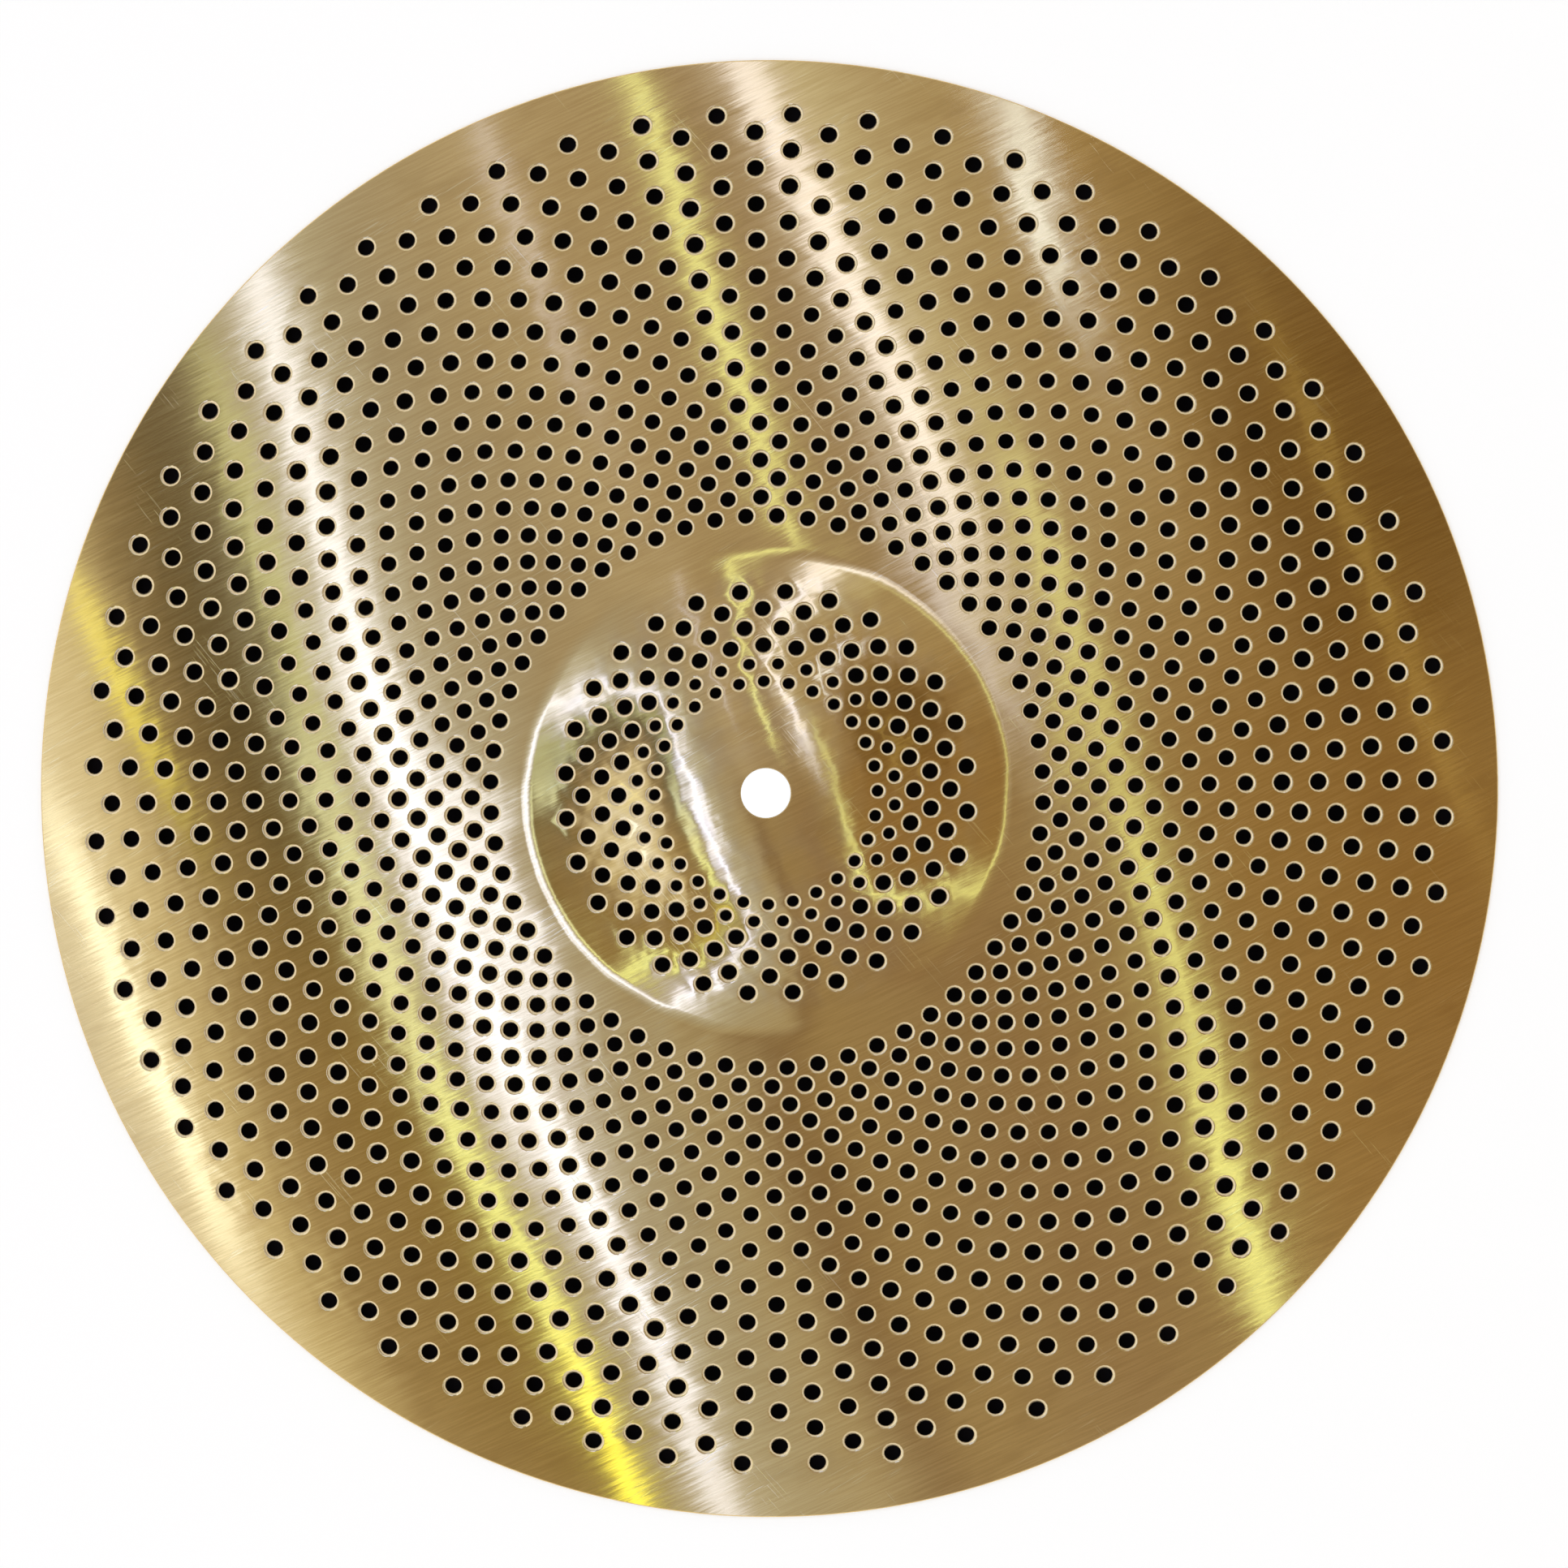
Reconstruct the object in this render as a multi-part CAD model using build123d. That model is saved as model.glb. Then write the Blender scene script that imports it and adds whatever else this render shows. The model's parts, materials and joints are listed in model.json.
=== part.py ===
from build123d import *
import os
from math import asin, atan2, cos, degrees, dist, sin, sqrt

# A 16 inch low-volume crash cymbal. It is one disc of brass sheet: rings of small holes are punched in
# it, and it is pressed into a domed bell and a shallow bow. +Z is up through the bell. The origin is on
# the cymbal's axis, in the plane that the rim rests on. Lengths are in millimetres, and the radii of
# bends and curves are those of the middle of the sheet's thickness.

# The pressed disc.
diameter = 406.4  # across the rim
sheet = 0.9  # thickness of the brass
bow_rise = 17.0  # from the rim up to where the bow would meet the axis if it had no bell
bell_diameter = 132.0  # across the crease between bell and bow
dome_diameter = 72.0  # across the bell's domed top, where its hollow shoulder begins
dome_curve = 148.0  # radius of the sphere that the domed top is part of
shoulder_curve = 290.0  # radius to which the shoulder is hollowed
crease_bend = 40.0  # radius of the bend at the crease
centre_hole = 13.5  # diameter of the hole for the stand's rod

# The small holes lie on lines that run out from the axis. Two families of lines take turns round the
# disc, and the holes of one lie level with the gaps of the other. The first family has a line on +X.
# Distances from the axis follow the curve of the sheet.
bell_lines = 28  # lines of each family on the bell
bell_starts = (30.7, 35.7)  # from the axis to the first hole of each family's lines
bell_step = 10.2  # from hole to hole along a line
bell_hole = 4.1
bell_top_hole = 3.0
bell_top_zone = 38.0  # distance from the axis at which the top's smaller holes end
bell_margin = 7.0  # least distance from the crease to the centre of a hole

bow_lines = 56
bow_starts = (81.15, 76.05)
bow_step = 10.23
bow_hole = 4.4
bow_inner_hole = 4.0
bow_inner_zone = 140.0  # distance from the axis at which the inner part's smaller holes end
bow_margin = 14.0  # least distance from the rim to the centre of a hole

punch_overrun = 3.0  # how far a punch stands out of the middle of the sheet, on either side

# Worked out from the sizes above: where the bow's sphere, the dome's sphere and the rings that the
# shoulder and the crease bend round have their centres. The shoulder and the bow, carried on, would
# meet at the crease.
rim_radius = (diameter - sheet) / 2
rim_height = sheet / 2
bow_curve = (rim_radius**2 + bow_rise**2) / (2 * bow_rise)
bow_centre = (0, rim_height + bow_rise - bow_curve)
crease_radius = bell_diameter / 2
crease_height = bow_centre[1] + sqrt(bow_curve**2 - crease_radius**2)
dome_tilt = asin(dome_diameter / 2 / dome_curve)
dome_length = dome_curve * dome_tilt
shoulder_radius = sin(dome_tilt) * (dome_curve + shoulder_curve)
shoulder_height = crease_height + sqrt(shoulder_curve**2 - (shoulder_radius - crease_radius) ** 2)
shoulder_centre = (shoulder_radius, shoulder_height)
dome_centre = (0, shoulder_height - cos(dome_tilt) * (dome_curve + shoulder_curve))


def crossing(first, first_reach, second, second_reach):
    """The point at the given distances from two points, on the left of the way from first to second."""
    apart = dist(first, second)
    along = (first_reach**2 - second_reach**2 + apart**2) / (2 * apart)
    aside = sqrt(first_reach**2 - along**2)
    right, up = (second[0] - first[0]) / apart, (second[1] - first[1]) / apart
    return (first[0] + right * along - up * aside, first[1] + up * along + right * aside)


crease_centre = crossing(bow_centre, bow_curve + crease_bend, shoulder_centre, shoulder_curve - crease_bend)
crease_tilt = asin((shoulder_radius - crease_radius) / shoulder_curve)
bell_length = dome_length + shoulder_curve * (dome_tilt - crease_tilt)


def angle(centre, point):
    """Angle in degrees at which point lies from centre, counted from the outward direction."""
    return degrees(atan2(point[1] - centre[1], point[0] - centre[0]))


def both_faces(centre, curve, start, end):
    """The two faces of a stretch of sheet bent round centre, as arcs from one angle to another."""
    return [CenterArc(centre, curve + offset, start, end - start) for offset in (sheet / 2, -sheet / 2)]


def pressed_disc():
    """The sheet's section turned round the axis: dome, shoulder, crease, bow and fully rounded rim."""
    rim_centre = (rim_radius, rim_height)
    rim_angle = angle(bow_centre, rim_centre)
    bow_end = angle(bow_centre, crease_centre)
    crease_end = angle(shoulder_centre, crease_centre)
    dome_start = angle(dome_centre, shoulder_centre)

    rim = CenterArc(rim_centre, sheet / 2, rim_angle, -180)
    bow = both_faces(bow_centre, bow_curve, rim_angle, bow_end)
    crease = both_faces(crease_centre, crease_bend, bow_end - 180, crease_end)
    shoulder = both_faces(shoulder_centre, shoulder_curve, crease_end, dome_start - 180)
    dome = both_faces(dome_centre, dome_curve, dome_start, 90)
    middle = Line(dome[0] @ 1, dome[1] @ 1)
    section = make_face(Curve() + [rim, *bow, *crease, *shoulder, *dome, middle])
    return revolve(Plane.XZ * section, Axis.Z).solid()


def sphere_punch(centre, curve, distance, hole):
    """A pin square to a sphere, leaning towards +X to cross it at a distance from the axis.

    Its own axis begins at the sphere's centre, so that the edges of its hole are true circles.
    """
    pin = Cylinder(hole / 2, curve + punch_overrun, align=(Align.CENTER, Align.CENTER, Align.MIN))
    pin = split(pin, Plane.XY.offset(curve - punch_overrun), keep=Keep.TOP).solid()
    return Pos(0, 0, centre[1]) * Rot(0, degrees(distance / curve), 0) * pin


def shoulder_punch(distance, hole):
    """A pin square to the bell's hollow shoulder, at a distance from the axis."""
    tilt = dome_tilt - (distance - dome_length) / shoulder_curve
    out = shoulder_radius - shoulder_curve * sin(tilt)
    height = shoulder_height - shoulder_curve * cos(tilt)
    return Pos(out, 0, height) * Rot(0, degrees(tilt), 0) * Cylinder(hole / 2, 2 * punch_overrun)


def bell_punch(distance):
    """The pin for one of the bell's holes. Those nearest its top are smaller."""
    hole = bell_top_hole if distance < bell_top_zone else bell_hole
    if distance > dome_length:
        return shoulder_punch(distance, hole)
    return sphere_punch(dome_centre, dome_curve, distance, hole)


def bow_punch(distance):
    """The pin for one of the bow's holes. Those on its inner part are smaller."""
    hole = bow_inner_hole if distance < bow_inner_zone else bow_hole
    return sphere_punch(bow_centre, bow_curve, distance, hole)


def field(punch, lines, starts, step, end):
    """The pins for all the holes of both families, on every line from its start to no further than end."""
    pins = []
    for family, start in enumerate(starts):
        for place in range(int((end - start) / step) + 1):
            pin = punch(start + step * place)
            for line in range(lines):
                turn = 360 * (line + family / len(starts)) / lines
                pins.append(Rot(0, 0, turn) * pin)
    return pins


def cymbal():
    """The pressed disc with its small holes and the stand's hole."""
    stand_punch = sphere_punch(dome_centre, dome_curve, 0, centre_hole)
    bow_length = bow_curve * asin(rim_radius / bow_curve)
    bell_pins = field(bell_punch, bell_lines, bell_starts, bell_step, bell_length - bell_margin)
    bow_pins = field(bow_punch, bow_lines, bow_starts, bow_step, bow_length - bow_margin)
    return pressed_disc().cut(stand_punch, *bell_pins, *bow_pins).solid()


os.makedirs("parts", exist_ok=True)
export_step(cymbal(), "parts/cymbal.step")
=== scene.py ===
import bpy
import json
import numpy as np
from collections import namedtuple
from math import acos, asin, atan2, cos, hypot, pi, radians, sin, sqrt, tan
from mathutils import Matrix, Vector


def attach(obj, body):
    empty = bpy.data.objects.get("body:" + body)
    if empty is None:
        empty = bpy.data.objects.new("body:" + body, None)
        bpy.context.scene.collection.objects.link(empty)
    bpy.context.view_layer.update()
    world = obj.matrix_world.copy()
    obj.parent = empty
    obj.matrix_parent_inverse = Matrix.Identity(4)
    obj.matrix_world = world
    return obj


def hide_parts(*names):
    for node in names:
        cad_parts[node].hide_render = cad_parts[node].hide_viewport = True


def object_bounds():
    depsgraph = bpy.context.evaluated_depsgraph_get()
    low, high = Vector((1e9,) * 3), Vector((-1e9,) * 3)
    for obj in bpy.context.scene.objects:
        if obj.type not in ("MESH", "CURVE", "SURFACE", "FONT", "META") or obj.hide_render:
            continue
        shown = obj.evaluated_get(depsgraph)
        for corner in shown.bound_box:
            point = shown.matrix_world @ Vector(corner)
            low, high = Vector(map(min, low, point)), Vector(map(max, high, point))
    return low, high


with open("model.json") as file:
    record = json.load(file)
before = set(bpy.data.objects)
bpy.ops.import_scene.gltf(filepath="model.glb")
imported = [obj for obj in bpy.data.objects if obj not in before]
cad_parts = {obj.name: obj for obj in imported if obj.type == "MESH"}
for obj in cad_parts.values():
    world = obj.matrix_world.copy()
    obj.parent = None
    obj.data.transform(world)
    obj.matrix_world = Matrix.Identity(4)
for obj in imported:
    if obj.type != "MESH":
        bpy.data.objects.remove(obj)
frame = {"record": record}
cad_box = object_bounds()

# A 16 inch low-volume crash cymbal: one disc of brushed brass sheet, punched full of small holes and
# pressed into a bell and a shallow bow. The visible sheet is one closed mesh that stands for the CAD
# solid: it adds the rounded lip that the punch leaves round every hole on the upper face. Sizes are the
# solid's own, in metres. Bends and curves are given for the middle of the sheet's thickness.

mm = 0.001

# The pressed disc.
diameter = 406.4 * mm
sheet = 0.9 * mm
bow_rise = 17.0 * mm
bell_diameter = 132.0 * mm
dome_diameter = 72.0 * mm
dome_curve = 148.0 * mm
shoulder_curve = 290.0 * mm
crease_bend = 40.0 * mm
stand_hole = frame["record"]["mounts"][0]["dims"]["r_mm"] * mm
stand_hole_round = 0.25 * mm

# The holes stand on straight lines that run outwards, by turns of two kinds: both have the same step
# from hole to hole, and start at different distances from the axis, counted along the curve of the sheet.
bell_columns = 56
bell_step = 10.2 * mm
bell_starts = (30.7 * mm, 35.7 * mm)
bell_counts = (3, 3)
bell_hole = 2.05 * mm
bell_top_hole = 1.5 * mm
bell_top_zone = 38.0 * mm
bow_columns = 112
bow_step = 10.23 * mm
bow_starts = (76.05 * mm, 81.15 * mm)
bow_counts = (12, 11)
bow_hole = 2.2 * mm
bow_inner_hole = 2.0 * mm
bow_inner_zone = 140.0 * mm

# The punched lip, seen from above: the sheet dishes slightly towards the hole, then rolls over its edge.
# The lip's width and the dish's tilt differ from hole to hole by a share of themselves.
hole_sides = 16
lip_width = 0.92 * mm
lip_depth = 0.42 * mm
dish_depth = 0.02 * mm
bow_dish_tilt = radians(0.15)
bell_dish_tilt = radians(0.6)
lip_inner_tilt = radians(58)
lip_unevenness = 0.07
dish_unevenness = 0.35
settling_rounds = 4  # how often a hole's circle is brought closer to the curved face

# How far the lip's own brass shows: at its brink, at its inner edge and down the hole's wall.
brink_polish = 0.2
edge_polish = 1.0
wall_polish = 0.5

# How many points the stretches of the pressed section have, where no holes are.
crown_points = 7
edge_points = 5
slope_points = 5
bend_points = 6
border_points = 6
rim_points = 11

brush_angle = radians(24)  # direction of the hairlines, from +X

# The pressed section is made of arcs: the bell's domed top, its hollow shoulder, the bend at the crease
# and the bow. Each arc has its centre's place in the section, its radius, and which way it faces: 1 if
# it bulges up, -1 if it is hollow. It starts at a distance from the axis, counted along the curve, and
# at a tilt of the sheet from level.
Arc = namedtuple("Arc", "start tilt radius height curve facing")

rim_radius = (diameter - sheet) / 2
rim_height = sheet / 2
crease_radius = bell_diameter / 2
bow_curve = (rim_radius**2 + bow_rise**2) / (2 * bow_rise)
bow = Arc(0, 0, 0, rim_height + bow_rise - bow_curve, bow_curve, 1)
rim_tilt = asin(rim_radius / bow_curve)

dome_tilt = asin(dome_diameter / 2 / dome_curve)
dome_length = dome_curve * dome_tilt
shoulder_radius = sin(dome_tilt) * (dome_curve + shoulder_curve)
crease_height = bow.height + sqrt(bow_curve**2 - crease_radius**2)
shoulder_height = crease_height + sqrt(shoulder_curve**2 - (shoulder_radius - crease_radius) ** 2)
shoulder = Arc(dome_length, dome_tilt, shoulder_radius, shoulder_height, shoulder_curve, -1)
dome = Arc(0, 0, 0, shoulder_height - cos(dome_tilt) * (dome_curve + shoulder_curve), dome_curve, 1)

# The bend at the crease touches the bow and the shoulder, which gives its centre's distances from theirs.
bow_reach = bow_curve + crease_bend
shoulder_reach = shoulder_curve - crease_bend
centres_apart = hypot(shoulder_radius, shoulder_height - bow.height)
centres_lean = atan2(shoulder_radius, shoulder_height - bow.height)
opening = acos((bow_reach**2 + centres_apart**2 - shoulder_reach**2) / (2 * bow_reach * centres_apart))
bow_start_tilt = centres_lean - opening
bend_radius = bow_reach * sin(bow_start_tilt)
bend_height = bow.height + bow_reach * cos(bow_start_tilt)
shoulder_end_tilt = asin((shoulder_radius - bend_radius) / shoulder_reach)
shoulder_length = shoulder_curve * (dome_tilt - shoulder_end_tilt)
bend = Arc(dome_length + shoulder_length, shoulder_end_tilt, bend_radius, bend_height, crease_bend, -1)

rng = np.random.default_rng(16)


def hole_rings(starts, counts, step):
    """The distances of all holes on two neighbouring lines, from the nearest to the furthest.

    Each line's holes stand at its start plus 0, 1, 2 and so on times the step. As the two lines' holes
    take turns, every other crossing of such a ring with the lines has a hole.
    """
    lines = [start + step * np.arange(count) for start, count in zip(starts, counts)]
    return np.sort(np.concatenate(lines))


bell_rings = hole_rings(bell_starts, bell_counts, bell_step)
bow_rings = hole_rings(bow_starts, bow_counts, bow_step)


# ---------------------------------------------------------------- the sheet's mesh

class Sheet:
    """Collects patches of surface, each with its own points, normals and triangles, and joins them.

    A patch repeats the points of its neighbour's edge. Points at one place become one vertex, while
    each triangle's corner keeps the normal of its own patch, so an edge between patches can be sharp.
    """

    def __init__(self):
        self.points, self.normals, self.triangles, self.lips = [], [], [], []
        self.count = 0

    def add(self, points, normals, triangles, lip=0.0):
        """Adds a patch: points and normals of one shape (..., 3), triangles as indices into them."""
        points = points.reshape(-1, 3)
        self.points.append(points)
        self.normals.append(normals.reshape(-1, 3))
        self.triangles.append(np.asarray(triangles).reshape(-1, 3) + self.count)
        self.lips.append(np.broadcast_to(lip, points.shape[:1]))
        self.count += len(points)

    def mesh(self, name, closeness=1e-7):
        """The joined mesh. Points that agree to the closeness, in metres, are one vertex."""
        points = np.concatenate(self.points)
        normals = np.concatenate(self.normals)
        corners = np.concatenate(self.triangles)
        lips = np.concatenate(self.lips)
        _, first, joined = np.unique(
            np.round(points / closeness).astype(np.int64), axis=0, return_index=True, return_inverse=True
        )
        faces = joined.reshape(-1)[corners]
        used, faces = np.unique(faces, return_inverse=True)
        faces = faces.reshape(-1, 3)
        mesh = bpy.data.meshes.new(name)
        mesh.vertices.add(len(used))
        mesh.vertices.foreach_set("co", points[first[used]].astype(np.float32).ravel())
        mesh.loops.add(faces.size)
        mesh.loops.foreach_set("vertex_index", faces.astype(np.int32).ravel())
        mesh.polygons.add(len(faces))
        mesh.polygons.foreach_set("loop_start", np.arange(0, faces.size, 3, dtype=np.int32))
        mesh.update(calc_edges=True)
        mesh.validate()
        mesh.polygons.foreach_set("use_smooth", np.ones(len(faces), bool))
        place = points[corners.ravel(), :2]
        across_hairs = np.array([-sin(brush_angle), cos(brush_angle)])
        along_hairs = np.array([cos(brush_angle), sin(brush_angle)])
        layer = mesh.uv_layers.new(name="across_the_brushing")
        uv = np.stack([place @ across_hairs, place @ along_hairs], -1) / diameter + 0.5
        layer.data.foreach_set("uv", uv.astype(np.float32).ravel())
        lip = mesh.attributes.new("lip", "FLOAT", "CORNER")
        lip.data.foreach_set("value", lips[corners.ravel()].astype(np.float32))
        mesh.normals_split_custom_set(normals[corners.ravel()])
        return mesh


def around(radius, height, turn):
    """Points at a radius and turn about the axis."""
    radius, height, turn = np.broadcast_arrays(radius, height, turn)
    return np.stack([radius * np.cos(turn), radius * np.sin(turn), height], -1)


def on_sheet(arcs, distance, turn, lift):
    """Points lifted above the sheet's middle, at a distance from the axis along the arcs, and normals.

    Along an arc the tilt grows by distance / curve, or shrinks by it where the arc is hollow. The point
    lies from the arc's centre along the normal, or against it where the arc is hollow.
    """
    distance, turn = np.broadcast_arrays(distance, turn)
    points, normals = np.zeros(distance.shape + (3,)), np.zeros(distance.shape + (3,))
    for arc in arcs:
        tilt = arc.tilt + arc.facing * (distance - arc.start) / arc.curve
        normal = around(np.sin(tilt), np.cos(tilt), turn)
        point = around(arc.radius, arc.height, turn) + normal * (arc.facing * arc.curve + lift)
        reached = (distance >= arc.start)[..., None]
        points, normals = np.where(reached, point, points), np.where(reached, normal, normals)
    return points, normals


def above_sheet(arcs, points):
    """How far points lie above the sheet's middle, and the sheet's normals there.

    An arc's part of the sheet is told by the tilt of the line from its centre.
    """
    out = np.hypot(points[..., 0], points[..., 1])
    turn = np.arctan2(points[..., 1], points[..., 0])
    heights, normals = np.zeros(out.shape), np.zeros(points.shape)
    for arc in arcs:
        sideways, upwards = arc.facing * (out - arc.radius), arc.facing * (points[..., 2] - arc.height)
        away = np.hypot(sideways, upwards)
        normal = around(sideways / away, upwards / away, turn)
        tilt = np.arctan2(sideways, upwards)
        reached = arc.facing * (tilt - arc.tilt) >= 0
        heights = np.where(reached, arc.facing * (away - arc.curve), heights)
        normals = np.where(reached[..., None], normal, normals)
    return heights, normals


def profile(centre_radius, centre_height, curve, angles, facing=1):
    """Points of a circular arc in the sheet's section, as rows of radius, height and their normal.

    The angles are counted from straight up, leaning outwards. The normal points away from the arc's
    centre, or towards it where facing is -1.
    """
    out = np.stack([np.sin(angles), np.cos(angles)], -1)
    return np.hstack([out * curve + (centre_radius, centre_height), out * facing])


def turned(skin, section, columns):
    """Adds the section turned about the axis: a grid of rings, each with one point in every column.

    The section is walked with the outside on its left, so the triangles face out.
    """
    turn = np.arange(columns) * (2 * pi / columns)
    points = around(section[:, 0:1], section[:, 1:2], turn)
    normals = around(section[:, 2:3], section[:, 3:4], turn)
    ring = np.arange(len(section) - 1)[:, None] * columns
    column = np.arange(columns)
    after = (column + 1) % columns
    near, near_after = ring + column, ring + after
    far, far_after = near + columns, near_after + columns
    skin.add(points, normals, np.stack([near, far, far_after, near, far_after, near_after], -1))


def widened(skin, section, columns, doubling):
    """Adds one band between two section points where the number of columns doubles, or halves.

    Each wide gap on the coarse ring faces two gaps of the fine ring: three triangles fill it.
    """
    coarse, fine = (section[0], section[1]) if doubling else (section[1], section[0])
    turn = np.arange(columns) * (2 * pi / columns)
    fine_turn = np.arange(2 * columns) * (pi / columns)
    points = np.concatenate([around(coarse[0], coarse[1], turn), around(fine[0], fine[1], fine_turn)])
    normals = np.concatenate([around(coarse[2], coarse[3], turn), around(fine[2], fine[3], fine_turn)])
    near = np.arange(columns)
    near_after = (near + 1) % columns
    first = columns + 2 * near
    middle = first + 1
    last = columns + (2 * near + 2) % (2 * columns)
    triangles = np.stack([near, first, middle, near, middle, near_after, near_after, middle, last], -1)
    triangles = triangles.reshape(-1, 3)
    skin.add(points, normals, triangles if doubling else triangles[:, ::-1])


def hole_ring(arcs, distance, turn, radius, lift, depth=0.0):
    """A circle about each hole's axis on the sheet's face, then sunk by a depth along the axis.

    The hole's axis stands square on the sheet. Angles round it start outwards, towards the rim, and turn
    to the left. As the face is curved, each point is moved along the axis by what it lacks of the face's
    lift, a few times over. Returns the points, the face's normals there and the ways out from the axes.
    """
    middle, axis = on_sheet(arcs, distance, turn, 0.0)
    sideways = around(1, 0, turn + pi / 2)
    outward = np.cross(sideways, axis)
    angle = np.arange(hole_sides)[:, None] * (2 * pi / hole_sides)
    away = outward[:, None] * np.cos(angle) + sideways[:, None] * np.sin(angle)
    flat = middle[:, None] + away * radius[:, None, None]
    axis = axis[:, None]
    rise = np.full(flat.shape[:2], lift)
    for _ in range(settling_rounds):
        height, normals = above_sheet(arcs, flat + axis * rise[..., None])
        rise += lift - height
    return flat + axis * (rise - depth)[..., None], normals, away


def leaning(normals, away, tilt):
    """Normals round each hole, leant by the hole's tilt towards its axis."""
    tilt = tilt[:, None, None]
    return normals * np.cos(tilt) - away * np.sin(tilt)


def collar(corners, ring):
    """Triangles between a diamond's four corners and the ring of points inside it, facing up.

    Each corner takes the ring's points of the eighth to its left and right. The middle point of each
    quarter closes the triangle on the diamond's side.
    """
    sides = len(ring)
    quarter = sides // 4
    step = np.arange(sides)
    nearest = ((step + quarter // 2) // quarter) % 4
    fans = np.stack([corners[nearest], ring[(step + 1) % sides], ring[step]], -1)
    corner = np.arange(4)
    bridges = np.stack(
        [corners[corner], corners[(corner + 1) % 4], ring[corner * quarter + quarter // 2]], -1
    )
    return np.concatenate([fans, bridges])


def band(outer, inner):
    """Triangles between two rings of points, the outer one further along the way the band faces."""
    after_outer, after_inner = np.roll(outer, -1), np.roll(inner, -1)
    return np.concatenate(
        [np.stack([outer, after_outer, after_inner], -1), np.stack([outer, after_inner, inner], -1)]
    )


def fill_borders(skin, arcs, levels, columns, first_on_x):
    """Adds the triangles that close a punched zone along its first and last level, on both faces.

    Each fills the notch between two diamonds, and is cut in two halves at the middle of its edge.
    """
    gap = 2 * pi / columns
    for side in (1, -1):
        for edge_level, next_level in ((0, 1), (len(levels) - 1, len(levels) - 2)):
            tip = np.arange((edge_level + first_on_x) % 2, columns, 2)
            points, normals = zip(
                on_sheet(arcs, levels[edge_level], (tip - 1) * gap, side * sheet / 2),
                on_sheet(arcs, levels[next_level], tip * gap, side * sheet / 2),
                on_sheet(arcs, levels[edge_level], tip * gap, side * sheet / 2),
                on_sheet(arcs, levels[edge_level], (tip + 1) * gap, side * sheet / 2),
            )
            triangles = np.array([[0, 1, 2], [2, 1, 3]])
            upright = (side == 1) == (edge_level == 0)
            triangles = triangles if upright else triangles[:, ::-1]
            start = np.arange(len(tip))[:, None, None] * 4
            skin.add(np.stack(points, 1), side * np.stack(normals, 1), start + triangles)


def punched_field(skin, arcs, rings, columns, hole_radius, first_on_x, dish_tilt):
    """Adds a zone of the sheet where holes stand on every other crossing of rings and columns.

    Each hole lies in a diamond whose corners are the four empty crossings next to it. The diamonds
    leave no gap between them, except triangles along the first and the last ring. Inside a diamond the
    upper face runs to the lip's brink, rolls over to its edge, and goes down the hole's wall to its foot
    on the lower face. first_on_x is 1 where the first ring has a hole on +X, and 0 where the second has.
    Returns the distances from the axis at which the zone begins and ends.
    """
    before, after = 2 * rings[0] - rings[1], 2 * rings[-1] - rings[-2]
    levels = np.concatenate([[before], rings, [after]])
    ring, column = np.meshgrid(np.arange(1, len(rings) + 1), np.arange(columns), indexing="ij")
    punched = (ring + column) % 2 == first_on_x
    ring, column = ring[punched], column[punched]
    gap = 2 * pi / columns
    turn = column * gap
    distance = levels[ring]
    radius = hole_radius(distance)
    uneven = 1 + lip_unevenness * rng.standard_normal(len(radius)).clip(-2, 2)
    dish = dish_tilt * (1 + dish_unevenness * rng.standard_normal(len(radius)).clip(-2, 2))

    def diamond(lift):
        """Every diamond's four corners at a lift from the sheet's middle, and the normals there."""
        around_it = [
            on_sheet(arcs, levels[ring + 1], turn, lift),
            on_sheet(arcs, distance, turn + gap, lift),
            on_sheet(arcs, levels[ring - 1], turn, lift),
            on_sheet(arcs, distance, turn - gap, lift),
        ]
        return [np.stack(values, 1) for values in zip(*around_it)]

    def hole_patch(blocks, pattern, lips=(0, 0)):
        """Adds one patch for all holes: for each, the pattern's triangles on the points of its blocks.

        The lips say how much of the lip's own brass shows on each block.
        """
        points = np.concatenate([block[0] for block in blocks], 1)
        normals = np.concatenate([block[1] for block in blocks], 1)
        start = np.arange(len(points))[:, None, None] * points.shape[1]
        lip = np.repeat(lips, [block[0].shape[1] for block in blocks])
        skin.add(points, normals, start + pattern, np.tile(lip, len(points)))

    ring_index = np.arange(hole_sides)
    corner_index = np.arange(4)
    wide = radius + lip_width * uneven
    top, bottom = sheet / 2, -sheet / 2
    brink, face_normals, away = hole_ring(arcs, distance, turn, wide, top, dish_depth)
    edge, edge_normals, _ = hole_ring(arcs, distance, turn, radius, top, lip_depth)
    foot, foot_normals, _ = hole_ring(arcs, distance, turn, radius, bottom)
    dished = leaning(face_normals, away, dish)
    rolled = leaning(edge_normals, away, np.full(len(radius), lip_inner_tilt))
    pattern = collar(corner_index, 4 + ring_index)
    hole_patch([diamond(top), (brink, dished)], pattern)
    between_rings = band(ring_index, hole_sides + ring_index)
    hole_patch([(brink, dished), (edge, rolled)], between_rings, (brink_polish, edge_polish))
    hole_patch([(edge, -away), (foot, -away)], between_rings, (wall_polish, wall_polish))
    below, below_normals = diamond(bottom)
    hole_patch([(below, -below_normals), (foot, -foot_normals)], pattern[:, ::-1])
    fill_borders(skin, arcs, levels, columns, first_on_x)
    return before, after


def joined(*sections):
    """One section from several that follow each other, each beginning where the last one ended."""
    return np.concatenate([sections[0]] + [section[1:] for section in sections[1:]])


def face(arc, tilts, side):
    """Section of an arc's upper (side 1) or lower (side -1) face over a range of tilts."""
    angles = tilts if arc.facing > 0 else tilts + pi
    curve = arc.curve + arc.facing * side * sheet / 2
    return profile(arc.radius, arc.height, curve, angles, arc.facing * side)


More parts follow.
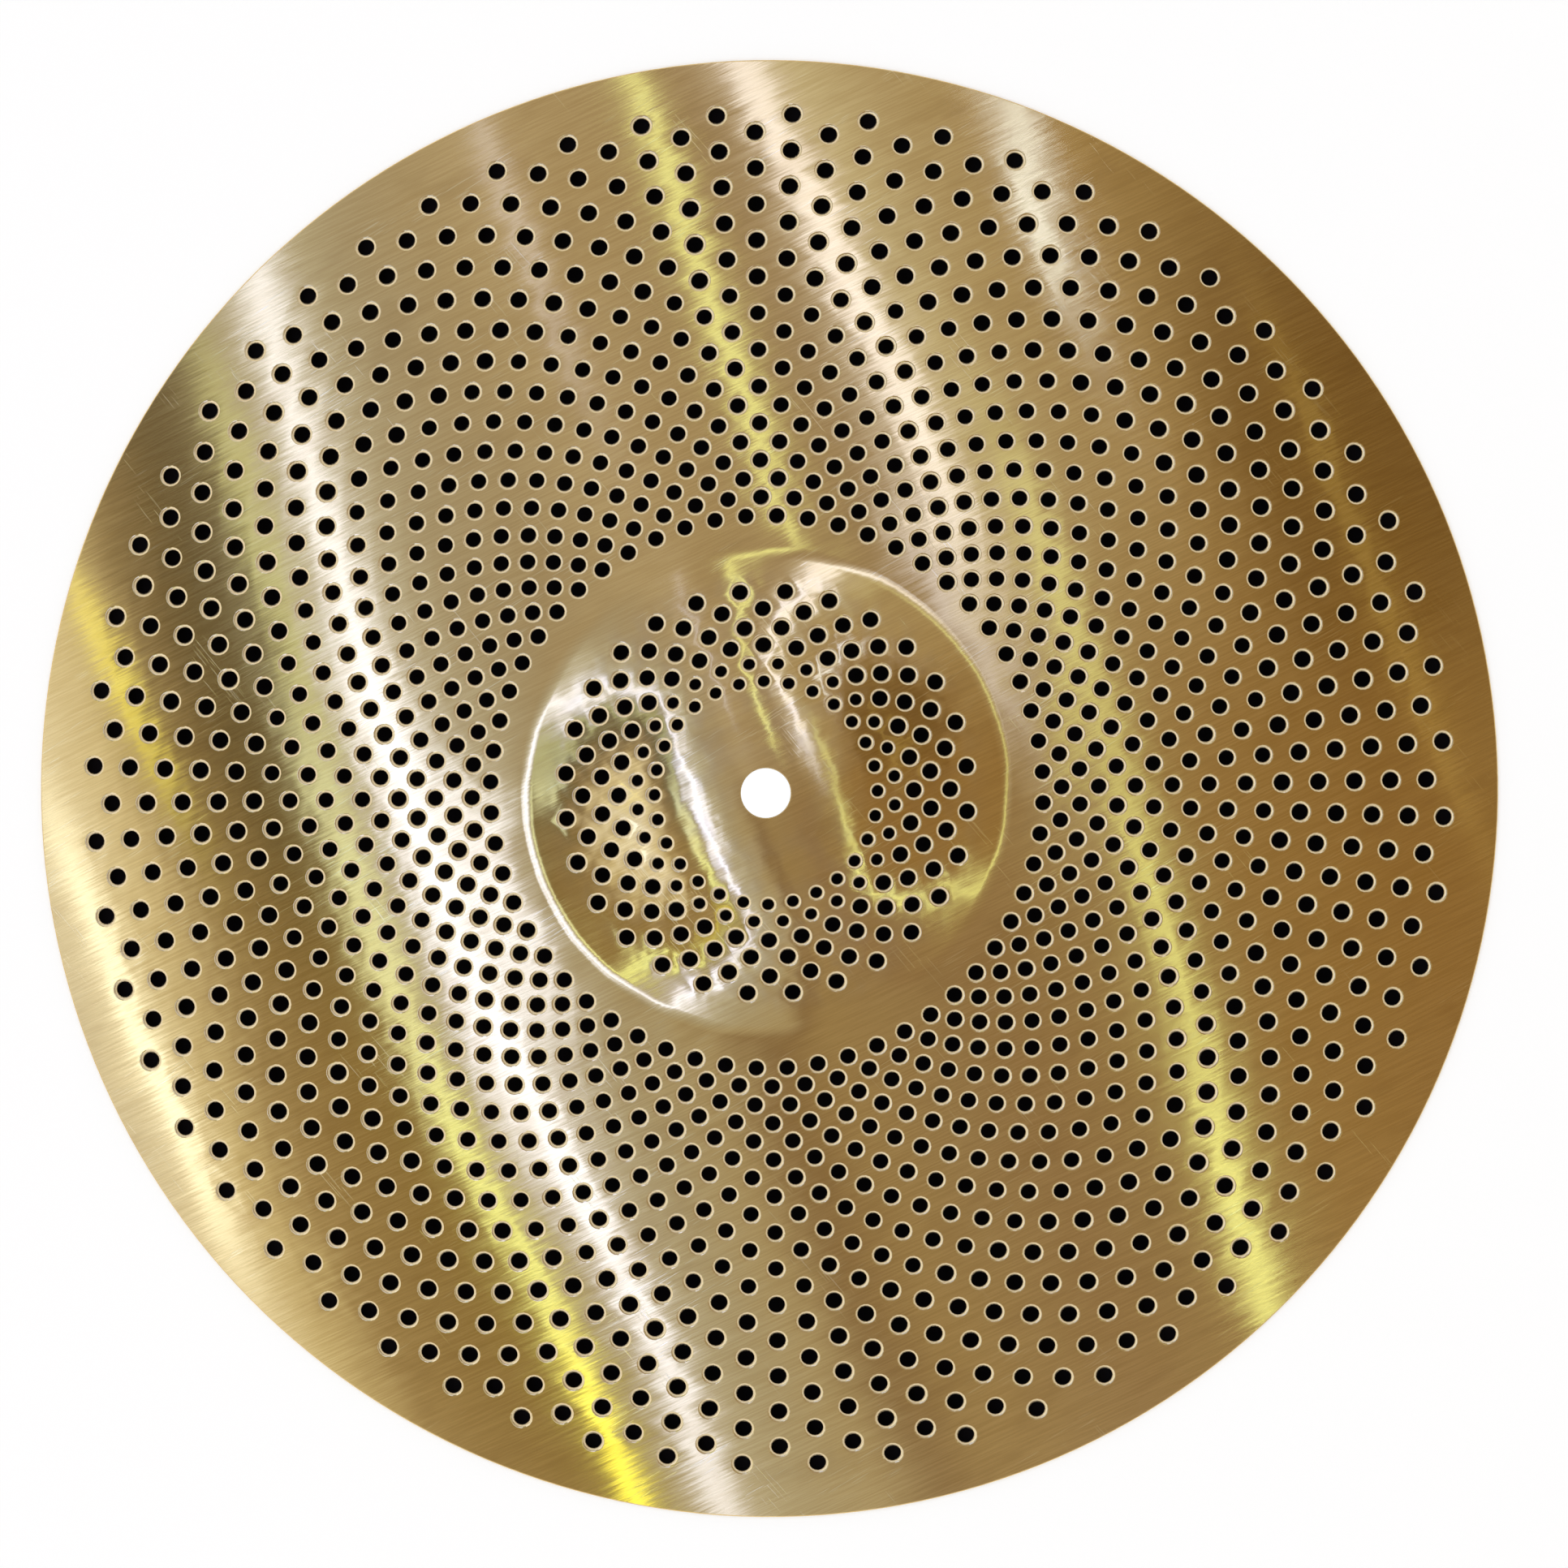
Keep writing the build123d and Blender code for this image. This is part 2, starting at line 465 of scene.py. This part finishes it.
def crown_section(start):
    """From the dome's lower face in to the stand's hole, up its wall and out over the upper face."""
    corner_radius = stand_hole + stand_hole_round
    upper = dome_curve + sheet / 2 - stand_hole_round
    lower = dome_curve - sheet / 2 + stand_hole_round
    upper_tilt, lower_tilt = asin(corner_radius / upper), asin(corner_radius / lower)
    upper_height = dome.height + upper * cos(upper_tilt)
    lower_height = dome.height + lower * cos(lower_tilt)
    lower_edge = profile(
        corner_radius, lower_height, stand_hole_round,
        np.linspace(lower_tilt - pi, -pi / 2, edge_points),
    )
    upper_edge = profile(
        corner_radius, upper_height, stand_hole_round,
        np.linspace(-pi / 2, upper_tilt, edge_points),
    )
    return np.concatenate([
        face(dome, np.linspace(start, lower_tilt, crown_points), -1),
        lower_edge[1:],
        upper_edge,
        face(dome, np.linspace(upper_tilt, start, crown_points), 1)[1:],
    ])


def make_cymbal():
    """The whole sheet: punched zones on bell and bow, and plain turned bands between them."""
    skin = Sheet()
    bell_first, bell_last = punched_field(
        skin, (dome, shoulder), bell_rings, bell_columns,
        lambda distance: np.where(distance < bell_top_zone, bell_top_hole, bell_hole),
        first_on_x=1, dish_tilt=bell_dish_tilt,
    )
    bow_first, bow_last = punched_field(
        skin, (bow,), bow_rings, bow_columns,
        lambda distance: np.where(distance < bow_inner_zone, bow_inner_hole, bow_hole),
        first_on_x=0, dish_tilt=bow_dish_tilt,
    )
    turned(skin, crown_section(bell_first / dome_curve), bell_columns)

    shoulder_tilt = dome_tilt - (bell_last - dome_length) / shoulder_curve
    shoulder_tilts = np.linspace(shoulder_tilt, shoulder_end_tilt, slope_points)
    bend_tilts = np.linspace(shoulder_end_tilt, bow_start_tilt, bend_points)
    bow_tilts = np.linspace(bow_start_tilt, bow_first / bow_curve, slope_points)
    stretches = ((shoulder, shoulder_tilts), (bend, bend_tilts), (bow, bow_tilts))
    over = joined(*[face(arc, tilts, 1) for arc, tilts in stretches])
    under = joined(*[face(arc, tilts, -1) for arc, tilts in stretches])[::-1]
    widened(skin, over[:2], bell_columns, doubling=True)
    turned(skin, over[1:], bow_columns)
    turned(skin, under[:-1], bow_columns)
    widened(skin, under[-2:], bell_columns, doubling=False)

    border_tilts = np.linspace(bow_last / bow_curve, rim_tilt, border_points)
    rim_angles = np.linspace(rim_tilt, rim_tilt + pi, rim_points)
    rim = profile(rim_radius, rim_height, sheet / 2, rim_angles)
    border = joined(face(bow, border_tilts, 1), rim, face(bow, border_tilts[::-1], -1))
    widened(skin, border[:2], bow_columns, doubling=True)
    turned(skin, border[1:-1], 2 * bow_columns)
    widened(skin, border[-2:], bow_columns, doubling=False)

    cymbal = bpy.data.objects.new("brushed_cymbal", skin.mesh("brushed_cymbal"))
    bpy.context.scene.collection.objects.link(cymbal)
    return cymbal


cymbal = make_cymbal()


# ---------------------------------------------------------------- materials

darker_brass = (0.745, 0.55, 0.262)
lighter_brass = (0.83, 0.635, 0.322)
warm_cloud = (0.80, 0.57, 0.24)
brown_stain = (0.66, 0.47, 0.215)
bell_haze = (0.74, 0.58, 0.36)
bare_mark = (0.95, 0.84, 0.58)
polished_lip = (0.92, 0.80, 0.58)

# How much of a colour shows where its pattern is strongest.
cloud_share = 0.2
stain_share = 0.5
thinnest_haze = 0.1
thickest_haze = 0.5
mark_share = 0.5
lip_share = 0.9

smoothest = 0.12
roughest = 0.13
lip_roughness = 0.12  # added on the lip
anisotropy = 0.95

# The grains of the drawn-out patterns, and the spots of the round ones.
hair_length = 14 * mm
hair_width = 0.4 * mm
streak_length = 30 * mm
streak_width = 1.2 * mm
combing_length = 12 * mm
combing_width = 0.5 * mm
stain_length = 24 * mm
stain_width = 12 * mm
mark_width = 0.3 * mm
mark_group_width = 12 * mm
cloud_size = 60 * mm
wave_size = 38 * mm
buckle_size = 24 * mm
ripple_size = 9 * mm
mottle_size = 6 * mm

# What each pattern of the relief rises from its lowest to its highest point.
wave_height = 0.08 * mm
buckle_height = 0.30 * mm
ripple_height = 0.006 * mm
dent_height = 0.05 * mm
hairline_height = 0.0003 * mm
mark_depth = 0.002 * mm
combing_tilt = 0.014  # how far the hairlines lean the sheet's normal along the brushing, as a slope

table_white = (0.90, 0.90, 0.90)
# painted shade: the floor's dark colour under the disc, standing for the disc's shadow
shade = (0.012, 0.010, 0.012)
floor_glow = 0.34  # what the floor adds to its lit colour to look white
steep_sight = 0.97  # the upward part of a line of sight that still shows what is straight below
slanting_sight = 0.90  # and of one that no longer does


def add(tree, kind, inputs=(), **settings):
    """A new node with its settings, and its inputs set to values or linked to other nodes' outputs."""
    node = tree.nodes.new(kind)
    for name, value in settings.items():
        setattr(node, name, value)
    for name, value in dict(inputs).items():
        if isinstance(value, bpy.types.NodeSocket):
            tree.links.new(value, node.inputs[name])
        else:
            node.inputs[name].default_value = value
    return node


def reckon(tree, operation, *values):
    """The result of arithmetic on values or outputs."""
    return add(tree, "ShaderNodeMath", enumerate(values), operation=operation).outputs[0]


def combine(tree, operation, *vectors):
    """The vector that comes of an operation on vectors."""
    return add(tree, "ShaderNodeVectorMath", enumerate(vectors), operation=operation).outputs["Vector"]


def measure(tree, operation, *vectors):
    """The number that comes of an operation on vectors."""
    return add(tree, "ShaderNodeVectorMath", enumerate(vectors), operation=operation).outputs["Value"]


def fade(tree, value, low, high, to_low=0.0, to_high=1.0):
    """The value carried smoothly from the range low to high to another range, and held at its ends."""
    inputs = {"Value": value, "From Min": low, "From Max": high, "To Min": to_low, "To Max": to_high}
    return add(tree, "ShaderNodeMapRange", inputs, interpolation_type="SMOOTHSTEP").outputs[0]


def zone(tree, value, start, full_start, full_end, end):
    """1 from full_start to full_end, fading to 0 at start and at end."""
    begun, unfinished = fade(tree, value, start, full_start), fade(tree, value, end, full_end)
    return reckon(tree, "MULTIPLY", begun, unfinished)


def blend(tree, share, first, second):
    """Two colours, as values or outputs, mixed by the share."""
    inputs = {0: share}
    for slot, value in ((6, first), (7, second)):
        inputs[slot] = value if isinstance(value, bpy.types.NodeSocket) else (*value, 1)
    return add(tree, "ShaderNodeMix", inputs, data_type="RGBA").outputs[2]


def grain(tree, place, turn, length, width, detail):
    """Noise in grains of a length and a width, drawn out in a direction turned from +X."""
    mapping = add(tree, "ShaderNodeMapping", {"Vector": place}, vector_type="TEXTURE")
    mapping.inputs["Rotation"].default_value = (0, 0, turn)
    mapping.inputs["Scale"].default_value = (length, width, length)
    inputs = {"Vector": mapping.outputs[0], "Scale": 1.0, "Detail": detail}
    return add(tree, "ShaderNodeTexNoise", inputs).outputs[0]


def spots(tree, place, size, detail=1):
    """Round noise: its spots are as long as they are wide."""
    return grain(tree, place, 0.0, size, size, detail)


def material(name):
    """An empty material and its node tree."""
    made = bpy.data.materials.new(name)
    made.use_nodes = True
    made.node_tree.nodes.clear()
    return made, made.node_tree


def scratches(tree, place, turn, length, threshold):
    """Thin marks that come in loose groups, fewer where the threshold is higher. 1 on a mark."""
    lines = fade(tree, grain(tree, place, turn, length, mark_width, 0), 0.70, 0.76)
    groups = grain(tree, place, turn, 3 * length, mark_group_width, 1)
    groups = fade(tree, groups, threshold, threshold + 0.08)
    return reckon(tree, "MULTIPLY", lines, groups)


def brass_colour(tree, place, tone, mottle, on_bell, marks, lip):
    """Two tones of brushing, then clouds, stains, the bell's mottled haze, marks and bright lips."""
    clouds = spots(tree, place, cloud_size, 2)
    stains = grain(tree, place, brush_angle, stain_length, stain_width, 3)
    haze = fade(tree, mottle, 0.35, 0.65, thinnest_haze, thickest_haze)
    haze = reckon(tree, "MULTIPLY", haze, on_bell)
    colour = blend(tree, fade(tree, tone, 0.34, 0.66), darker_brass, lighter_brass)
    colour = blend(tree, fade(tree, clouds, 0.35, 0.65, 0, cloud_share), colour, warm_cloud)
    colour = blend(tree, fade(tree, stains, 0.50, 0.72, 0, stain_share), colour, brown_stain)
    colour = blend(tree, haze, colour, bell_haze)
    colour = blend(tree, reckon(tree, "MULTIPLY", marks, mark_share), colour, bare_mark)
    return blend(tree, reckon(tree, "MULTIPLY", lip, lip_share), colour, polished_lip)


def brass_normal(tree, place, hairlines, mottle, near_crease, on_bell, marks):
    """The face's normal, from its relief and from the combing of its hairlines.

    The relief is the sum of waves, ripples and hairlines all over, buckles near the crease, dents on the
    bell and sunken marks: each is its pattern times its height. The combing then leans the normal to and
    fro along the brushing, by a slope of its pattern less a half, times combing_tilt.
    """
    waves = reckon(tree, "MULTIPLY", spots(tree, place, wave_size), wave_height)
    buckles = reckon(tree, "MULTIPLY", spots(tree, place, buckle_size), buckle_height)
    ripples = reckon(tree, "MULTIPLY", spots(tree, place, ripple_size), ripple_height)
    hairs = reckon(tree, "MULTIPLY", hairlines, hairline_height)
    dents = reckon(tree, "MULTIPLY", mottle, dent_height)
    relief = reckon(tree, "ADD", reckon(tree, "ADD", waves, ripples), hairs)
    relief = reckon(tree, "MULTIPLY_ADD", buckles, near_crease, relief)
    relief = reckon(tree, "MULTIPLY_ADD", dents, on_bell, relief)
    relief = reckon(tree, "SUBTRACT", relief, reckon(tree, "MULTIPLY", marks, mark_depth))
    bump = add(tree, "ShaderNodeBump", {"Strength": 1.0, "Distance": 1.0, "Height": relief})

    combing = grain(tree, place, brush_angle + radians(1), combing_length, combing_width, 1)
    push = reckon(tree, "MULTIPLY", reckon(tree, "SUBTRACT", combing, 0.5), combing_tilt)
    brushing = (cos(brush_angle), sin(brush_angle), 0)
    lean = add(tree, "ShaderNodeVectorMath", {0: brushing, "Scale": push}, operation="SCALE").outputs[0]
    return combine(tree, "NORMALIZE", combine(tree, "ADD", bump.outputs[0], lean))


def brushed_brass():
    """Brass sheet with a straight hairline brushing, waves and dents from pressing, and handling marks.

    The mirror is blurred across the hairlines: the tangent that the anisotropy follows comes from the
    UV map that counts across the brushing.
    """
    made, tree = material("brushed_brass")
    place = add(tree, "ShaderNodeTexCoord").outputs["Object"]
    distance = measure(tree, "LENGTH", place)
    on_bell = zone(
        tree, distance, bell_rings[0] - 6 * mm, bell_rings[0], crease_radius - 8 * mm, crease_radius
    )
    near_crease = zone(
        tree, distance, crease_radius - 14 * mm, crease_radius, crease_radius, crease_radius + 26 * mm
    )
    lip = add(tree, "ShaderNodeAttribute", attribute_name="lip").outputs["Fac"]
    hairlines = grain(tree, place, brush_angle, hair_length, hair_width, 1)
    streaks = grain(tree, place, brush_angle, streak_length, streak_width, 2)
    mottle = spots(tree, place, mottle_size)
    marks = reckon(
        tree, "MAXIMUM",
        scratches(tree, place, brush_angle + radians(6), length=9 * mm, threshold=0.55),
        scratches(tree, place, brush_angle - radians(75), length=12 * mm, threshold=0.62),
    )
    tone = reckon(tree, "MULTIPLY_ADD", reckon(tree, "SUBTRACT", hairlines, streaks), 0.7, streaks)
    roughness = fade(tree, tone, 0.3, 0.7, smoothest, roughest)
    tangent = add(tree, "ShaderNodeTangent", direction_type="UV_MAP", uv_map="across_the_brushing")
    shader = add(tree, "ShaderNodeBsdfPrincipled", {
        "Base Color": brass_colour(tree, place, tone, mottle, on_bell, marks, lip),
        "Metallic": 1.0,
        "Roughness": reckon(tree, "ADD", roughness, reckon(tree, "MULTIPLY", lip, lip_roughness)),
        "Anisotropic": anisotropy,
        "Normal": brass_normal(tree, place, hairlines, mottle, near_crease, on_bell, marks),
        "Tangent": tangent.outputs[0],
    })
    add(tree, "ShaderNodeOutputMaterial", {"Surface": shader.outputs[0]})
    return made


def pale_floor():
    """A white table, painted dark under the disc as the disc's shade, except for what shows straight down
    the stand's hole.

    It glows a little where it is seen, so that it looks white, and fully below the stand's hole.
    """
    made, tree = material("pale_floor")
    place = add(tree, "ShaderNodeTexCoord").outputs["Object"]
    distance = measure(tree, "LENGTH", place)
    incoming = add(tree, "ShaderNodeNewGeometry").outputs["Incoming"]
    upward = add(tree, "ShaderNodeSeparateXYZ", {0: incoming}).outputs[2]
    beside_hole = fade(tree, distance, stand_hole + 2 * mm, stand_hole + 4 * mm)
    aslant = fade(tree, upward, steep_sight, slanting_sight)
    under_disc = fade(tree, distance, diameter / 2 - 6 * mm, diameter / 2 - 10 * mm)
    # how much of the floor's colour is the painted shade under the disc, which also holds back its glow
    # there
    painted_shade_share = reckon(tree, "MULTIPLY", under_disc, reckon(tree, "MAXIMUM", beside_hole, aslant))
    diffuse = add(tree, "ShaderNodeBsdfDiffuse", {"Color": blend(tree, painted_shade_share, table_white, shade)})
    path = add(tree, "ShaderNodeLightPath").outputs
    seen = reckon(tree, "MAXIMUM", path["Is Camera Ray"], path["Is Glossy Ray"])
    seen = reckon(tree, "MAXIMUM", seen, path["Is Transmission Ray"])
    strength = fade(tree, distance, 150 * mm, 100 * mm, floor_glow, 1.0)
    glow = reckon(tree, "MULTIPLY", seen, reckon(tree, "SUBTRACT", 1.0, painted_shade_share))
    glow = reckon(tree, "MULTIPLY", glow, strength)
    emission = add(tree, "ShaderNodeEmission", {"Color": (1, 1, 1, 1), "Strength": glow})
    both = add(tree, "ShaderNodeAddShader", {0: diffuse.outputs[0], 1: emission.outputs[0]})
    add(tree, "ShaderNodeOutputMaterial", {"Surface": both.outputs[0]})
    return made


cymbal.data.materials.append(brushed_brass())
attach(cymbal, "root")
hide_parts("cymbal")


# ---------------------------------------------------------------- floor, light and camera

camera_height = 1.0
half_view = 218.7 * mm  # half of what the camera sees, in the plane of its target
sensor_width = 36.0
disc_turn = radians(1.07)  # how far the first line of holes is turned from the camera's right
camera_turn = Matrix.Rotation(-disc_turn, 3, "Z")
camera_place = Vector((19 * mm, 20 * mm, camera_height))
camera_target = Vector((4.6 * mm, 2.0 * mm, 0))

floor_radius = 3.0
floor_sides = 96
floor_gap = 0.01 * mm

lamp_height = 3.0
low_height = 1.2
lamp_turn = radians(20.8) - disc_turn  # direction across the lamps, from +X
across = Vector((cos(lamp_turn), sin(lamp_turn), 0))
along = Vector((-sin(lamp_turn), cos(lamp_turn), 0))

white = (0.33, 0.44, 1.0)
creamy_white = (0.36, 0.45, 0.90)
silver = (0.34, 0.49, 0.95)
pale_blue = (0.52, 0.68, 1.0)
pale_green = (0.64, 0.88, 0.90)
green = (0.70, 1.0, 0.60)
yellow = (0.85, 1.0, 0.08)
amber = (1.0, 0.95, 0.4)

# The ceiling's bands at the back and at the front of the room. Each has its slant across the lamps, which
# is how far it lies sideways over how far up, and its colour.
ceiling_back = (
    (-0.64, (0.82, 0.90, 1.10)),
    (-0.58, (0.95, 1.00, 1.05)),
    (-0.51, (0.80, 0.80, 0.70)),
    (-0.46, (0.31, 0.26, 0.18)),
    (-0.40, (0.13, 0.11, 0.07)),
    (-0.35, (0.14, 0.11, 0.08)),
    (-0.32, (0.46, 0.48, 0.42)),
    (-0.25, (0.58, 0.64, 0.70)),
    (-0.20, (0.46, 0.46, 0.47)),
    (-0.12, (0.46, 0.43, 0.39)),
    (-0.07, (0.53, 0.50, 0.45)),
    (0.01, (0.46, 0.41, 0.34)),
    (0.12, (0.40, 0.34, 0.29)),
    (0.20, (0.67, 0.69, 0.65)),
    (0.25, (0.51, 0.47, 0.39)),
    (0.36, (0.42, 0.34, 0.20)),
    (0.39, (0.42, 0.34, 0.21)),
    (0.52, (0.27, 0.19, 0.09)),
    (0.64, (0.40, 0.32, 0.20)),
)
ceiling_front = (
    (-0.64, (0.80, 0.86, 1.00)),
    (-0.58, (0.92, 0.95, 0.98)),
    (-0.53, (0.72, 0.70, 0.54)),
    (-0.48, (0.38, 0.31, 0.19)),
    (-0.38, (0.31, 0.24, 0.11)),
    (-0.34, (0.36, 0.32, 0.12)),
    (-0.25, (0.55, 0.59, 0.62)),
    (-0.20, (0.47, 0.47, 0.45)),
    (-0.15, (0.48, 0.45, 0.37)),
    (-0.10, (0.28, 0.21, 0.14)),
    (-0.05, (0.38, 0.31, 0.20)),
    (0.02, (0.36, 0.29, 0.20)),
    (0.08, (0.33, 0.25, 0.17)),
    (0.22, (0.37, 0.30, 0.18)),
    (0.28, (0.35, 0.25, 0.12)),
    (0.44, (0.31, 0.20, 0.08)),
    (0.64, (0.34, 0.25, 0.12)),
)
dark_corner = (0.17, 0.10, 0.03)
corner_share = 0.75

left_wall = (1.20, 1.24, 1.30)
right_wall = (0.84, 0.86, 0.88)
wall_panels = (0.62, 0.56, 0.47)
ceiling_end = 0.70  # the slant at which the ceiling begins to turn into the walls
wall_start = 1.0
least_upward = 0.02  # keeps the slant from growing without end towards the horizon


def make_floor():
    """A round white floor in the plane that the rim rests on."""
    turn = np.arange(floor_sides) * (2 * pi / floor_sides)
    mesh = bpy.data.meshes.new("floor")
    edge = around(floor_radius, cad_box[0].z - floor_gap, turn)
    mesh.from_pydata(edge.tolist(), [], [list(range(floor_sides))])
    floor = bpy.data.objects.new("floor", mesh)
    floor.data.materials.append(pale_floor())
    bpy.context.scene.collection.objects.link(floor)


def mirrored_place(spot, height):
    """The point at a height that the camera sees mirrored at a spot on the bow.

    The spot is given in millimetres from the axis, across and along the lamps. The sheet tilts there by
    its distance / bow_curve, which turns the line of sight by twice as much. The line of sight itself
    leans by the spot's distance from below the camera / camera_height. The point lies off the spot by
    the height times the tangent of the two together.
    """
    place = (across * spot[0] + along * spot[1]) * mm
    below_camera = camera_turn @ Vector((camera_place.x, camera_place.y, 0))
    lean = place * (2 / bow_curve) + (place - below_camera) / camera_height
    return place + lean.normalized() * (tan(lean.length) * height)


def strip_lamp(name, start, end, width, brightness, colour, height=lamp_height):
    """A flat strip lamp that faces down, as bright as a white surface times brightness.

    It hangs where the camera sees it mirrored in the bow from the start to the end, which are spots in
    millimetres from the axis, across and along the lamps. Its own width is in millimetres too.
    """
    first, last = mirrored_place(start, height), mirrored_place(end, height)
    run = last - first
    lamp = bpy.data.lights.new(name, "AREA")
    lamp.shape = "RECTANGLE"
    lamp.size = run.length
    lamp.size_y = width * mm
    lamp.energy = brightness * pi * width * mm * run.length
    lamp.color = colour
    strip = bpy.data.objects.new(name, lamp)
    strip.location = first + run / 2 + Vector((0, 0, height))
    strip.rotation_euler = (0, 0, atan2(run.y, run.x))
    strip.visible_camera = False
    bpy.context.scene.collection.objects.link(strip)


def make_lamps():
    """Long white tubes and narrower coloured ones, bent out of straight pieces.

    They are named for how they look in the brass, which tints them. Two yellow ones hang low, which
    keeps their mirror images off the bell.
    """
    strip_lamp("white_left_back", (-78, 211), (-94, 12), 72, 4.7, white)
    strip_lamp("white_left_front", (-94.5, 2), (-83, -128), 72, 4.1, white)
    strip_lamp("white_left_end", (-83, -127), (-82.5, -205), 84, 2.9, white)
    strip_lamp("white_left_patch", (-93.5, 75), (-95.5, -75), 150, 2.7, white)
    strip_lamp("white_left_inner", (-81.5, 32), (-81.5, -38), 85, 3.4, white)
    strip_lamp("white_right", (62.5, 213), (76, 42), 96, 2.7, creamy_white)
    strip_lamp("white_right_patch", (65.4, 55), (66, 25), 70, 2.2, white)
    strip_lamp("white_right_end", (72.2, 26), (78, -2), 50, 1.8, white)
    strip_lamp("white_far_right", (135.4, 165), (124.4, 123), 34, 9.5, silver)
    strip_lamp("white_far_right_end", (124.5, 124), (126, 102), 28, 8.5, silver)
    strip_lamp("white_top", (-8, 214), (-10, 125), 21, 2.8, white)
    strip_lamp("cream_far_left", (-187.5, 63), (-184.5, -66), 68, 2.6, pale_blue)
    strip_lamp("yellow_top", (36, 214), (31, 60), 38, 2.1, green)
    strip_lamp("green_right", (96.3, 60), (92.3, -45), 70, 0.75, green)
    strip_lamp("yellow_right", (91, -45), (85.5, -124), 38, 2.3, green)
    strip_lamp("yellow_right_front", (84.5, -124), (74, -204), 34, 4.4, green)
    strip_lamp("thin_right", (176, 67), (177, -75), 24, 0.5, amber)
    strip_lamp("green_left", (-101.2, 166), (-111.1, 60), 52, 0.95, green)
    strip_lamp("green_left_middle", (-113.2, 60), (-116.2, -45), 85, 1.5, pale_green)
    strip_lamp("green_left_front", (-114.5, -45), (-104, -130), 48, 2.1, green)
    strip_lamp("yellow_left", (-104.5, -129), (-104, -205), 23, 2.6, yellow, low_height)
    strip_lamp("yellow_far_left", (-160, 122), (-154, 61), 26, 1.2, yellow, low_height)


def ramp(tree, value, stops):
    """A colour that follows the value through the stops, which are pairs of a value and a colour."""
    low, high = stops[0][0], stops[-1][0]
    inputs = {"Value": value, "From Min": low, "From Max": high}
    place = add(tree, "ShaderNodeMapRange", inputs).outputs[0]
    node = add(tree, "ShaderNodeValToRGB", {0: place})
    elements = node.color_ramp.elements
    for stop, colour in stops[1:-1]:
        elements.new((stop - low) / (high - low)).color = (*colour, 1)
    elements[0].color = (*stops[0][1], 1)
    elements[-1].color = (*stops[-1][1], 1)
    return node.outputs[0]


def ceiling_colour(tree, sideways, lengthways):
    """Soft bands of grey and tan that run along the lamps, with a dark corner at the right.

    The bands differ between the back and the front of the room.
    """
    back, front = ramp(tree, sideways, ceiling_back), ramp(tree, sideways, ceiling_front)
    ceiling = blend(tree, fade(tree, lengthways, -0.12, 0.16), front, back)
    beside = fade(tree, sideways, 0.34, 0.44)
    corner = reckon(tree, "MULTIPLY", beside, zone(tree, lengthways, -0.14, -0.04, 0.16, 0.34))
    return blend(tree, reckon(tree, "MULTIPLY", corner, corner_share), ceiling, dark_corner)


def make_world():
    """The studio: a banded ceiling, and white walls with a row of tan panels 15 to 35 degrees up.

    A direction's slant across the lamps is its sideways part over its upward part, and likewise along
    them. The slant of its whole level part tells the ceiling from the walls.
    """
    world = bpy.data.worlds.new("studio")
    world.use_nodes = True
    tree = world.node_tree
    tree.nodes.clear()
    direction = add(tree, "ShaderNodeTexCoord").outputs["Generated"]
    upward = add(tree, "ShaderNodeSeparateXYZ", {0: direction}).outputs[2]
    upward = reckon(tree, "MAXIMUM", upward, least_upward)
    sideways, lengthways = (
        reckon(tree, "DIVIDE", measure(tree, "DOT_PRODUCT", direction, way), upward)
        for way in (across, along)
    )
    level_part = add(tree, "ShaderNodeCombineXYZ", {0: sideways, 1: lengthways}).outputs[0]
    slant = measure(tree, "LENGTH", level_part)
    walls = blend(tree, fade(tree, sideways, -1.2, 1.2), left_wall, right_wall)
    walls = blend(tree, zone(tree, slant, 1.2, 2.2, 3.0, 5.5), walls, wall_panels)
    ceiling = ceiling_colour(tree, sideways, lengthways)
    colour = blend(tree, fade(tree, slant, ceiling_end, wall_start), ceiling, walls)
    background = add(tree, "ShaderNodeBackground", {"Color": colour, "Strength": 1.0})
    add(tree, "ShaderNodeOutputWorld", {"Surface": background.outputs[0]})
    bpy.context.scene.world = world


def make_camera():
    """Straight above the disc, a little off its axis, turned so that +X points almost to the right."""
    camera = bpy.data.objects.new("camera", bpy.data.cameras.new("camera"))
    away = camera_place - camera_target
    back = away.normalized()
    right = Vector((0, 1, 0)).cross(back).normalized()
    axes = camera_turn @ Matrix((right, back.cross(right), back)).transposed()
    camera.matrix_world = Matrix.Translation(camera_turn @ camera_place) @ axes.to_4x4()
    camera.data.sensor_width = sensor_width
    camera.data.lens = sensor_width / 2 * away.length / half_view
    camera.data.clip_start = 0.01
    bpy.context.scene.collection.objects.link(camera)
    bpy.context.scene.camera = camera


make_floor()
make_world()
make_lamps()
make_camera()

bpy.context.scene.view_settings.view_transform = "Standard"
